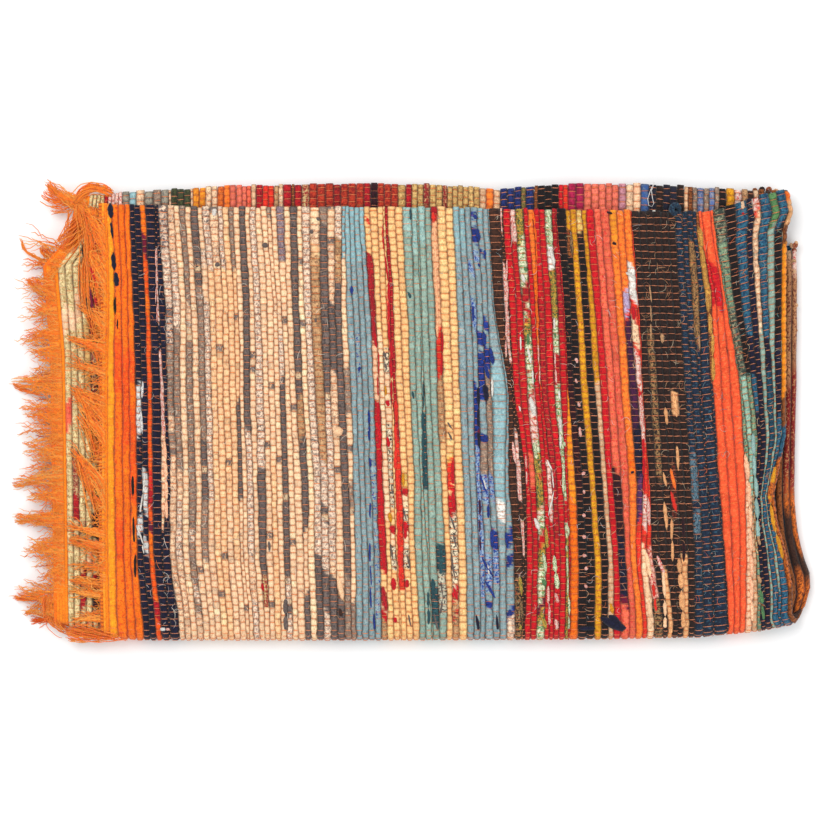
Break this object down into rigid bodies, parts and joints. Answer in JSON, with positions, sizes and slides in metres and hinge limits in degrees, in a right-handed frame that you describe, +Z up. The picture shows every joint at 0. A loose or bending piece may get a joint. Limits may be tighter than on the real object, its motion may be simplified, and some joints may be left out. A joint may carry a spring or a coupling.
{
  "type": "rag rug",
  "caption": "Handwoven rag rug of multicoloured ribs on orange warps, folded in quarters, with a loose warp fringe at the left.",
  "frame": {"origin": "on the floor, under the middle of the folded rug's outline", "axes": "+X along the warps, towards the fold at the right; +Y along the rag ribs, towards the rug's open long edge; +Z up"},
  "size_m": [0.8534, 0.4892, 0.0306],
  "materials": {
    "rug": "woven cotton rag, matte",
    "fringe_a": "loose cotton thread, matte",
    "fringe_b": "loose cotton thread, matte"
  },
  "bodies": {
    "root": {"rug": "rug", "fringe_a": "fringe_a", "fringe_b": "fringe_b"}
  },
  "joints": []
}
